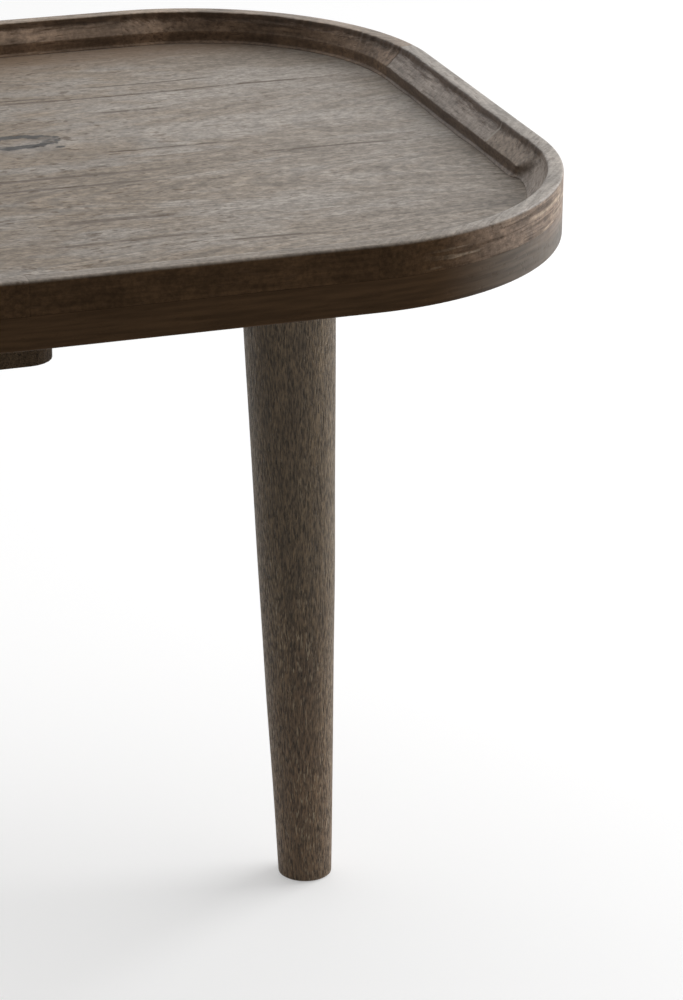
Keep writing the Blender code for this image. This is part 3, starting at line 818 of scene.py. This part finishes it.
def make_rim(materials):
    """The four rails and the four corner segments of the rim. Seams are 1 pale, -1 dark or 0 for none."""
    gap = JOINT_GAP / 2
    quarter = math.pi / 2
    bend = gap / CORNER_RADIUS
    for name, side in (("front", -1), ("rear", 1)):
        first = Vector((gap - FLAT_HALF, side * HALF))
        last = Vector((FLAT_HALF - gap, side * HALF))
        stations = line_stations(first, last, Vector((0, -side)), RIM_WIDTH)
        rim_piece(f"carved_rail_{name}", stations, f"rim_rail_{name}", materials[name], (0, 0))
    for name, side in (("right", 1), ("left", -1)):
        inward = Vector((-side, 0))
        joint = Vector((side * HALF, SIDE_RAIL_FRONT_Y))
        front_end = Vector((side * HALF, -FLAT_HALF))
        rear_end = Vector((side * HALF, FLAT_HALF))
        rail = line_stations(joint + Vector((0, gap)), rear_end, inward, SIDE_RIM_WIDTH)
        rail += arc_stations(side, 1, quarter, quarter - SIDE_RAIL_REACH + bend)[1:]
        rim_piece(f"carved_rail_{name}", rail, f"rim_rail_{name}", materials[name], (1, -1))
        front = arc_stations(side, -1, bend, quarter)
        front += line_stations(front_end, joint - Vector((0, gap)), inward, SIDE_RIM_WIDTH)[1:]
        rear = arc_stations(side, 1, bend, quarter - SIDE_RAIL_REACH - bend)
        for end, stations, seams in (("front", front, (0, 1)), ("rear", rear, (0, -1))):
            corner = f"{end}_{name}"
            rim_piece(f"carved_corner_{corner}", stations, f"rim_corner_{corner}", materials[corner], seams)


def rounded_square(half, radius, steps):
    """Points round a square with round corners, each with how far it faces sideways."""
    points = []
    for turn in range(4):
        spin = Matrix.Rotation(turn * math.pi / 2, 2)
        centre = Vector((half - radius, radius - half))
        for i in range(steps + 1):
            a = math.pi / 2 * i / steps
            out = spin @ Vector((math.sin(a), -math.cos(a)))
            points.append((spin @ centre + radius * out, abs(out.x)))
    return points


def make_boards(materials, under):
    """The tray boards, cut from one panel whose lower edge is rounded."""
    layers = []
    for k in range(LOWER_EDGE_STEPS + 1):
        a = math.pi / 2 * k / LOWER_EDGE_STEPS
        inset = LOWER_EDGE * (1 - math.sin(a))
        layers.append((inset, BOARD_BOTTOM + LOWER_EDGE * (1 - math.cos(a)), 1.0))
    for inset, drop, edge in UPPER_LAYERS:
        layers.append((inset, BOARD_TOP - drop, edge))
    pitch = 2 * HALF / BOARD_COUNT
    for index in range(BOARD_COUNT):
        shaped = bmesh.new()
        edge_layer = shaped.verts.layers.float.new("edge")
        side_layer = shaped.verts.layers.float.new("sideways")
        rings = []
        for inset, height, edge in layers:
            ring = []
            for point, sideways in rounded_square(HALF - inset, CORNER_RADIUS - inset, BOARD_CORNER_STEPS):
                vert = shaped.verts.new((point.x, point.y, height))
                vert[edge_layer] = edge
                vert[side_layer] = sideways
                ring.append(vert)
            rings.append(ring)
        skin(shaped, rings)
        shaped.faces.new(list(reversed(rings[0]))).material_index = 1
        shaped.faces.new(rings[-1])
        cuts = []
        if index > 0:
            cuts.append((-HALF + index * pitch + JOINT_GAP / 2, -1))
        if index < BOARD_COUNT - 1:
            cuts.append((-HALF + (index + 1) * pitch - JOINT_GAP / 2, 1))
        for depth, side in cuts:
            geometry = shaped.verts[:] + shaped.edges[:] + shaped.faces[:]
            made = bmesh.ops.bisect_plane(
                shaped, geom=geometry, plane_co=(0, depth, 0), plane_no=(0, side, 0), clear_outer=True
            )
            edges = [e for e in made["geom_cut"] if isinstance(e, bmesh.types.BMEdge)]
            bmesh.ops.contextual_create(shaped, geom=edges)
        piece = add_piece(f"stained_board_{index + 1}", shaped, [materials[index], under])
        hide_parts(f"tray_board_{index + 1}")


def leg_radius(height):
    """The leg's radius at a height above the floor."""
    share = height / LEG_TOP
    taper = LEG_FOOT_DIAMETER + (LEG_TOP_DIAMETER - LEG_FOOT_DIAMETER) * share
    return (taper + 4 * LEG_SWELL * share * (1 - share)) / 2


def make_legs(materials):
    """The turned legs, with the slight unevenness of hand sanding and an eased foot."""
    slope = math.tan(LEG_LEAN)
    levels = list(LEG_FOOT_STEPS)
    start = levels[-1][0]
    levels += [(mix(start, LEG_TOP, k / LEG_RINGS), 0.0) for k in range(1, LEG_RINGS + 1)]
    for leg, (place, lean) in LEGS.items():
        shaped = bmesh.new()
        rings = []
        for height, inset in levels:
            shift = lean * slope * (LEG_TOP - height)
            ring = []
            for j in range(LEG_SIDES):
                a = 2 * math.pi * j / LEG_SIDES
                out = Vector((math.cos(a), math.sin(a)))
                spot_x = out.x * LEG_WAVE_ROUND + place.x * LEG_WAVE_PLACE
                spot_y = out.y * LEG_WAVE_ROUND + place.y * LEG_WAVE_PLACE
                spot = (spot_x, spot_y, height * LEG_WAVE_PLACE)
                radius = leg_radius(height) - inset + wobble(spot, *LEG_WAVE)
                point = place + shift + out * radius
                ring.append(shaped.verts.new((point.x, point.y, height)))
            rings.append(ring)
        skin(shaped, rings)
        shaped.faces.new(list(reversed(rings[0])))
        shaped.faces.new(rings[-1])
        piece = add_piece(f"turned_leg_{leg}", shaped, [materials[leg]])
        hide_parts(f"leg_{leg}")


def screw_mesh(height, radius, material):
    """A countersunk screw with a cross recess, its head facing down at height 0."""
    shaped = bmesh.new()
    spots = [2 * math.pi * i / SCREW_SIDES for i in range(SCREW_SIDES)]
    rings = []
    for share, level in (*SCREW_HEAD, (SCREW_SHANK, height - SCREW_POINT), (SCREW_TIP, height)):
        place = [(share * radius * math.cos(a), share * radius * math.sin(a), level) for a in spots]
        rings.append([shaped.verts.new(point) for point in place])
    skin(shaped, rings)
    shaped.faces.new(rings[-1])
    reach = RECESS_REACH * radius
    half = RECESS_HALF * radius
    arm = [Vector((reach, -half)), Vector((reach, half)), Vector((half, half))]
    cross = [Matrix.Rotation(turn * math.pi / 2, 2) @ point for turn in range(4) for point in arm]
    mouth = [shaped.verts.new((p.x, p.y, 0.0)) for p in cross]
    depth = RECESS_DEPTH * radius
    base = [shaped.verts.new((RECESS_TAPER * p.x, RECESS_TAPER * p.y, depth)) for p in cross]
    edges = []
    for loop in (rings[0], mouth):
        for first, second in zip(loop, loop[1:] + loop[:1]):
            edges.append(shaped.edges.get((first, second)) or shaped.edges.new((first, second)))
    bmesh.ops.triangle_fill(shaped, use_beauty=True, edges=edges)
    skin(shaped, [mouth, base])
    shaped.faces.new(base)
    return to_mesh("cross_screw", shaped, [material], SCREW_SHARP_ANGLE)


def make_screws(hardware):
    """The screws of the leg boards, each turned a little differently."""
    names = sorted(name for name in frame["nodes"] if name.startswith("leg_board_screw"))
    low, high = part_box(names[0])
    mesh = screw_mesh(high.z - low.z, (high.x - low.x) / 2, hardware)
    for i, name in enumerate(names):
        low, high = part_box(name)
        piece = bpy.data.objects.new(name.replace("leg_board", "cross_head"), mesh)
        piece.location = ((low.x + high.x) / 2, (low.y + high.y) / 2, low.z)
        piece.rotation_euler = (0, 0, SCREW_TURN * i)
        bpy.context.scene.collection.objects.link(piece)
        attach(piece, "root")
        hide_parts(name)


def dress_nodes(leg_board_wood, hardware, dowel_wood):
    """Gives the solids that stay their materials, and eases the leg boards' edges."""
    for name in frame["nodes"]:
        if name.startswith("leg_board_screw"):
            continue
        if name.startswith(("hanger_bolt", "threaded_insert")):
            material = hardware
        elif name.startswith("leg_board"):
            material = leg_board_wood
        elif name.startswith("rim_dowel"):
            material = dowel_wood
        else:
            continue
        obj = bpy.data.objects[name]
        obj.data.materials.clear()
        obj.data.materials.append(material)
        if material is leg_board_wood:
            rounding = obj.modifiers.new("Ease", "BEVEL")
            rounding.width = LEG_BOARD_EASE
            rounding.segments = LEG_BOARD_EASE_STEPS
            rounding.limit_method = "ANGLE"
            rounding.angle_limit = LEG_BOARD_EASE_ANGLE


def make_camera():
    data = bpy.data.cameras.new("camera")
    data.lens = CAMERA_LENS
    data.sensor_width = CAMERA_SENSOR
    data.clip_end = CAMERA_REACH
    camera = bpy.data.objects.new("camera", data)
    bpy.context.scene.collection.objects.link(camera)
    flat = math.cos(CAMERA_PITCH)
    ahead = Vector((math.sin(CAMERA_YAW) * flat, math.cos(CAMERA_YAW) * flat, -math.sin(CAMERA_PITCH)))
    level = Vector((math.cos(CAMERA_YAW), -math.sin(CAMERA_YAW), 0))
    down = ahead.cross(level)
    right = math.cos(CAMERA_ROLL) * level + math.sin(CAMERA_ROLL) * down
    below = math.cos(CAMERA_ROLL) * down - math.sin(CAMERA_ROLL) * level
    turned = Matrix((right, -below, -ahead)).transposed().to_4x4()
    camera.matrix_world = Matrix.Translation(CAMERA_PLACE) @ turned
    bpy.context.scene.camera = camera


def area_light(name, place, target, size, power):
    data = bpy.data.lights.new(name, "AREA")
    data.shape = "RECTANGLE"
    data.size, data.size_y = size
    data.energy = power
    light = bpy.data.objects.new(name, data)
    light.location = place
    light.rotation_euler = (Vector(target) - Vector(place)).to_track_quat("-Z", "Y").to_euler()
    bpy.context.scene.collection.objects.link(light)


def make_world():
    """White surroundings behind and beside the table, and a dark room in front of it."""
    world = bpy.data.worlds.new("studio")
    bpy.context.scene.world = world
    world.use_nodes = True
    nodes = world.node_tree.nodes
    links = world.node_tree.links
    background = nodes["Background"]
    background.inputs["Color"].default_value = (1, 1, 1, 1)
    direction = nodes.new("ShaderNodeTexCoord")
    towards = nodes.new("ShaderNodeVectorMath")
    towards.operation = "DOT_PRODUCT"
    towards.inputs[1].default_value = BACKDROP_DIRECTION
    links.new(direction.outputs["Generated"], towards.inputs[0])
    level = nodes.new("ShaderNodeMapRange")
    level.interpolation_type = "SMOOTHSTEP"
    for name, value in zip(("From Min", "From Max", "To Min", "To Max"), (*BACKDROP_FADE, DARK_SIDE, 1.0)):
        level.inputs[name].default_value = value
    links.new(towards.outputs["Value"], level.inputs["Value"])
    links.new(level.outputs["Result"], background.inputs["Strength"])


def make_floor():
    """A white floor that keeps the shadow, and glows a little for the eye and in reflections."""
    material = bpy.data.materials.new("floor_white")
    material.use_nodes = True
    nodes = material.node_tree.nodes
    links = material.node_tree.links
    shader = nodes["Principled BSDF"]
    shader.inputs["Base Color"].default_value = (FLOOR_WHITE, FLOOR_WHITE, FLOOR_WHITE, 1)
    shader.inputs["Roughness"].default_value = FLOOR_ROUGHNESS
    shader.inputs["Specular IOR Level"].default_value = FLOOR_SPECULAR
    glow = nodes.new("ShaderNodeEmission")
    path = nodes.new("ShaderNodeLightPath")
    seen = path.outputs["Is Camera Ray"]
    for ray in ("Is Glossy Ray", "Is Transmission Ray"):
        either = nodes.new("ShaderNodeMath")
        either.operation = "MAXIMUM"
        links.new(seen, either.inputs[0])
        links.new(path.outputs[ray], either.inputs[1])
        seen = either.outputs[0]
    dim = nodes.new("ShaderNodeMath")
    dim.operation = "MULTIPLY"
    dim.inputs[1].default_value = FLOOR_GLOW
    links.new(seen, dim.inputs[0])
    links.new(dim.outputs[0], glow.inputs["Strength"])
    both = nodes.new("ShaderNodeAddShader")
    links.new(shader.outputs[0], both.inputs[0])
    links.new(glow.outputs[0], both.inputs[1])
    links.new(both.outputs[0], nodes["Material Output"].inputs["Surface"])
    shaped = bmesh.new()
    bmesh.ops.create_grid(shaped, x_segments=1, y_segments=1, size=FLOOR_HALF)
    mesh = bpy.data.meshes.new("floor")
    shaped.to_mesh(mesh)
    shaped.free()
    mesh.materials.append(material)
    floor = bpy.data.objects.new("floor", mesh)
    bpy.context.scene.collection.objects.link(floor)


def main():
    """Makes the materials, each with its own place in the noise, then the pieces and the studio."""
    straight = (0, 0, 0)
    sideways = (0, 0, math.radians(-90))
    upright = (0, math.radians(90), 0)
    boards = [tray_wood(i, **figure) for i, figure in enumerate(TRAY_FIGURES)]
    rim = {}
    rim["front"] = rim_wood("rim_wood_front", straight, (0.9, 0.0, 0.0), FRONT_RIM)
    rim["rear"] = rim_wood("rim_wood_rear", straight, (2.1, 0.0, 0.0), BROWN_RIM)
    for i, name in enumerate(("right", "left")):
        side = 1 - 2 * i
        corners = (
            (f"front_{name}", FRONT_CORNER_GRAIN, (1.9 + i, 1.1 + i, 0.4 + i), CORNER_RIM),
            (f"rear_{name}", REAR_CORNER_GRAIN, (3.1 + i, 0.7 + i, 1.3 + i), BROWN_RIM),
        )
        for corner, grain, offset, tones in corners:
            rim[corner] = rim_wood(f"rim_wood_{corner}", (0, 0, side * grain), offset, tones)
    for i, name in enumerate(("right", "left")):
        rim[name] = rim_wood(f"rim_wood_{name}", sideways, (1.3 * i, 2.2, 0.6 * i), GREY_RIM)
    legs = {}
    for i, name in enumerate(LEGS):
        legs[name] = leg_wood(f"leg_wood_{name}", upright, (0.7 * i, 1.9 * i, 0.8 * i), **LEG_LOOK)
    under = leg_wood("leg_board_wood", sideways, (0.3, 0.9, 1.7), **UNDER_LOOK)
    bottom = leg_wood("tray_underside_wood", straight, (1.3, 0.2, 0.7), **UNDER_LOOK)
    make_boards(boards, bottom)
    make_rim(rim)
    make_legs(legs)
    hardware = steel()
    make_screws(hardware)
    dress_nodes(under, hardware, rim["front"])
    make_camera()
    make_world()
    make_floor()
    area_light("key", KEY_PLACE, KEY_TARGET, KEY_SIZE, KEY_POWER)
    bpy.context.scene.view_settings.view_transform = "Standard"


main()
